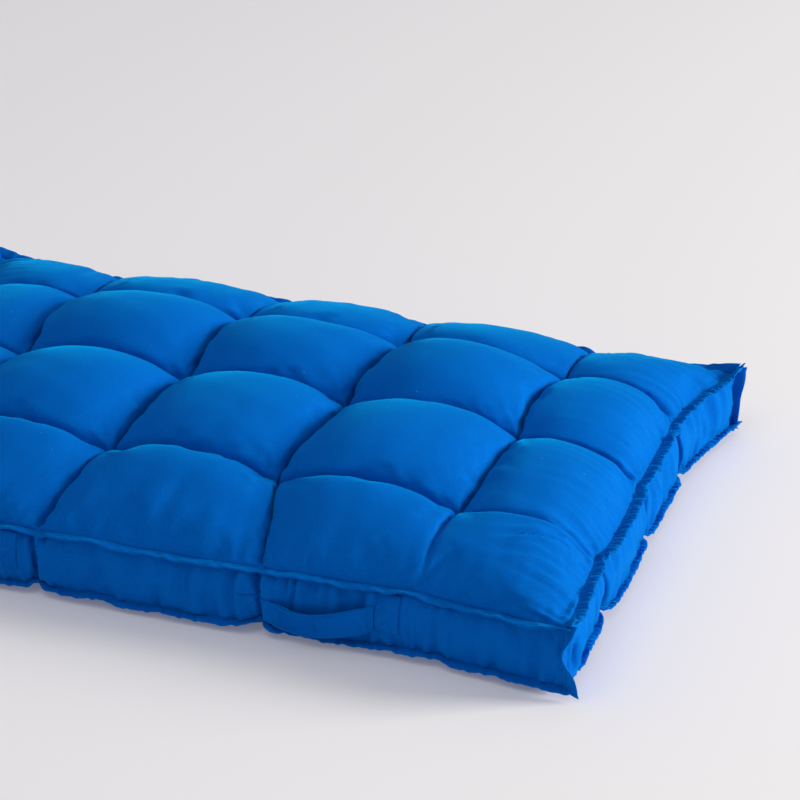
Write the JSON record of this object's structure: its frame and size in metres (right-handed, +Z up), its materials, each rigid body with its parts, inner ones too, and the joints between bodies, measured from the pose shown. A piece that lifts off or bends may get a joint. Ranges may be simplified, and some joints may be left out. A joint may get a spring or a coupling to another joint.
{
  "type": "futon mattress",
  "caption": "Thick tufted floor futon with a boxed edge, raised stitched seam flanges and swinging fabric carry straps on the long sides.",
  "frame": {"origin": "middle of the flat underside, on the surface the mattress lies on", "axes": "+X along the length, +Y across the width, +Z up through the thickness"},
  "size_m": [1.2, 0.8236, 0.19],
  "materials": {
    "cotton_twill": "matte royal blue cotton twill",
    "flange_cotton": "two folded layers of the same cotton, stitched along the seam",
    "strap_cotton": "folded cotton strap, top-stitched",
    "cotton_batting": "loose off-white cotton felt",
    "tufting_twine": "waxed blue cotton twine"
  },
  "bodies": {
    "mattress": {"top_panel": "cotton_twill", "bottom_panel": "cotton_twill", "upper_batting": "cotton_batting", "core_batting": "cotton_batting", "lower_batting": "cotton_batting", "front_border": "cotton_twill", "right_border": "cotton_twill", "back_border": "cotton_twill", "left_border": "cotton_twill", "front_top_flange": "flange_cotton", "right_top_flange": "flange_cotton", "back_top_flange": "flange_cotton", "left_top_flange": "flange_cotton", "front_bottom_flange": "flange_cotton", "right_bottom_flange": "flange_cotton", "back_bottom_flange": "flange_cotton", "left_bottom_flange": "flange_cotton", "front_right_corner_flange": "flange_cotton", "back_right_corner_flange": "flange_cotton", "front_left_corner_flange": "flange_cotton", "back_left_corner_flange": "flange_cotton", "front_right_handle_low_end": "strap_cotton", "front_right_handle_high_end": "strap_cotton", "front_left_handle_low_end": "strap_cotton", "front_left_handle_high_end": "strap_cotton", "back_right_handle_low_end": "strap_cotton", "back_right_handle_high_end": "strap_cotton", "back_left_handle_low_end": "strap_cotton", "back_left_handle_high_end": "strap_cotton", "tuft_tie_1_1": "tufting_twine", "tuft_tie_1_2": "tufting_twine", "tuft_tie_1_3": "tufting_twine", "tuft_tie_2_1": "tufting_twine", "tuft_tie_2_2": "tufting_twine", "tuft_tie_2_3": "tufting_twine", "tuft_tie_3_1": "tufting_twine", "tuft_tie_3_2": "tufting_twine", "tuft_tie_3_3": "tufting_twine", "tuft_tie_4_1": "tufting_twine", "tuft_tie_4_2": "tufting_twine", "tuft_tie_4_3": "tufting_twine"},
    "front_right_strap": {"front_right_handle_strap": "strap_cotton"},
    "front_left_strap": {"front_left_handle_strap": "strap_cotton"},
    "back_right_strap": {"back_right_handle_strap": "strap_cotton"},
    "back_left_strap": {"back_left_handle_strap": "strap_cotton"}
  },
  "joints": [
    {"name": "front_right_strap_swing", "type": "hinge", "parent": "mattress", "child": "front_right_strap", "pos_m": [0.25967, -0.3946, 0.06745], "axis": [-0.9976, 0, -0.0698], "range_deg": [0, 90]},
    {"name": "front_left_strap_swing", "type": "hinge", "parent": "mattress", "child": "front_left_strap", "pos_m": [-0.26232, -0.3946, 0.06745], "axis": [-0.9976, 0, -0.0698], "range_deg": [0, 90]},
    {"name": "back_right_strap_swing", "type": "hinge", "parent": "mattress", "child": "back_right_strap", "pos_m": [0.26232, 0.3946, 0.06745], "axis": [0.9976, 0, -0.0698], "range_deg": [0, 90]},
    {"name": "back_left_strap_swing", "type": "hinge", "parent": "mattress", "child": "back_left_strap", "pos_m": [-0.25967, 0.3946, 0.06745], "axis": [0.9976, 0, -0.0698], "range_deg": [0, 90]}
  ]
}
